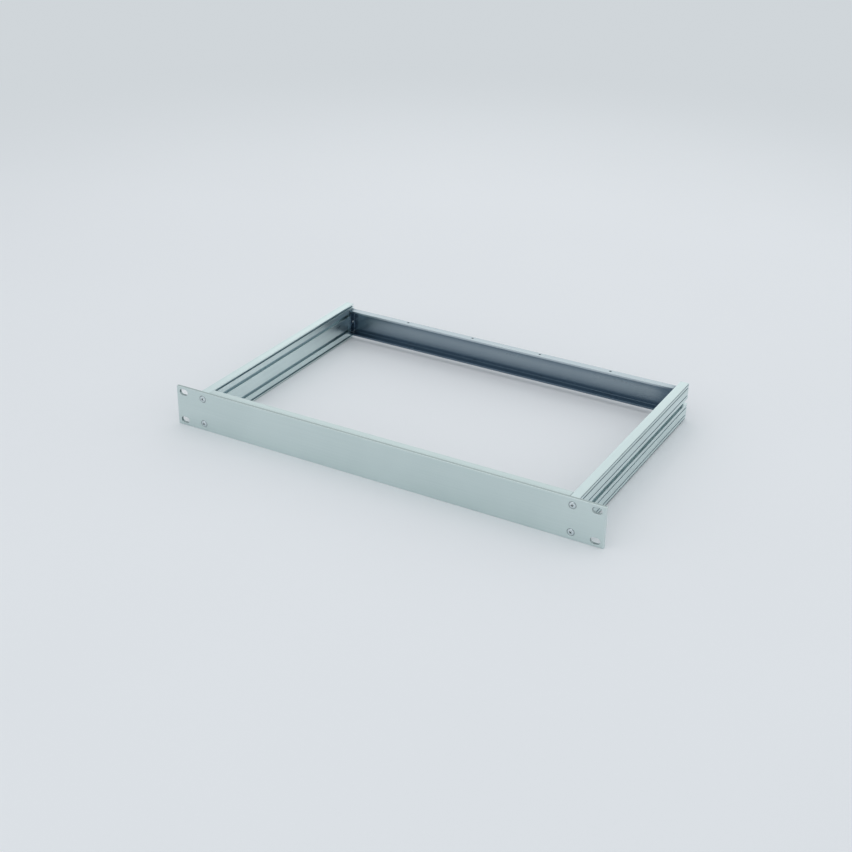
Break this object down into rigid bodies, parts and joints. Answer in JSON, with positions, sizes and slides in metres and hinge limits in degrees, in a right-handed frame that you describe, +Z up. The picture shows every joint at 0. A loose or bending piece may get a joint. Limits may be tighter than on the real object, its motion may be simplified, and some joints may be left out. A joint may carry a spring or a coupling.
{
  "type": "plug-in unit enclosure",
  "caption": "Open rack enclosure frame: a flat front panel with slotted ears, grooved extruded side profiles and a folded rear channel, without covers.",
  "frame": {"origin": "middle of the front panel's face, which is also the middle of its four rack slots", "axes": "+X along the panel, to the right seen from the front; +Y from the panel backwards to the rear channel; +Z up"},
  "size_m": [0.4826, 0.2837, 0.0436],
  "materials": {
    "panel": "satin anodised, natural",
    "profile": "satin anodised extrusion, natural",
    "channel": "satin sheet",
    "screw": "zinc plated"
  },
  "bodies": {
    "root": {"front_panel": "panel", "side_profile_left": "profile", "side_profile_right": "profile", "rear_channel": "channel", "panel_screws": "screw", "side_screws": "screw"}
  },
  "joints": []
}
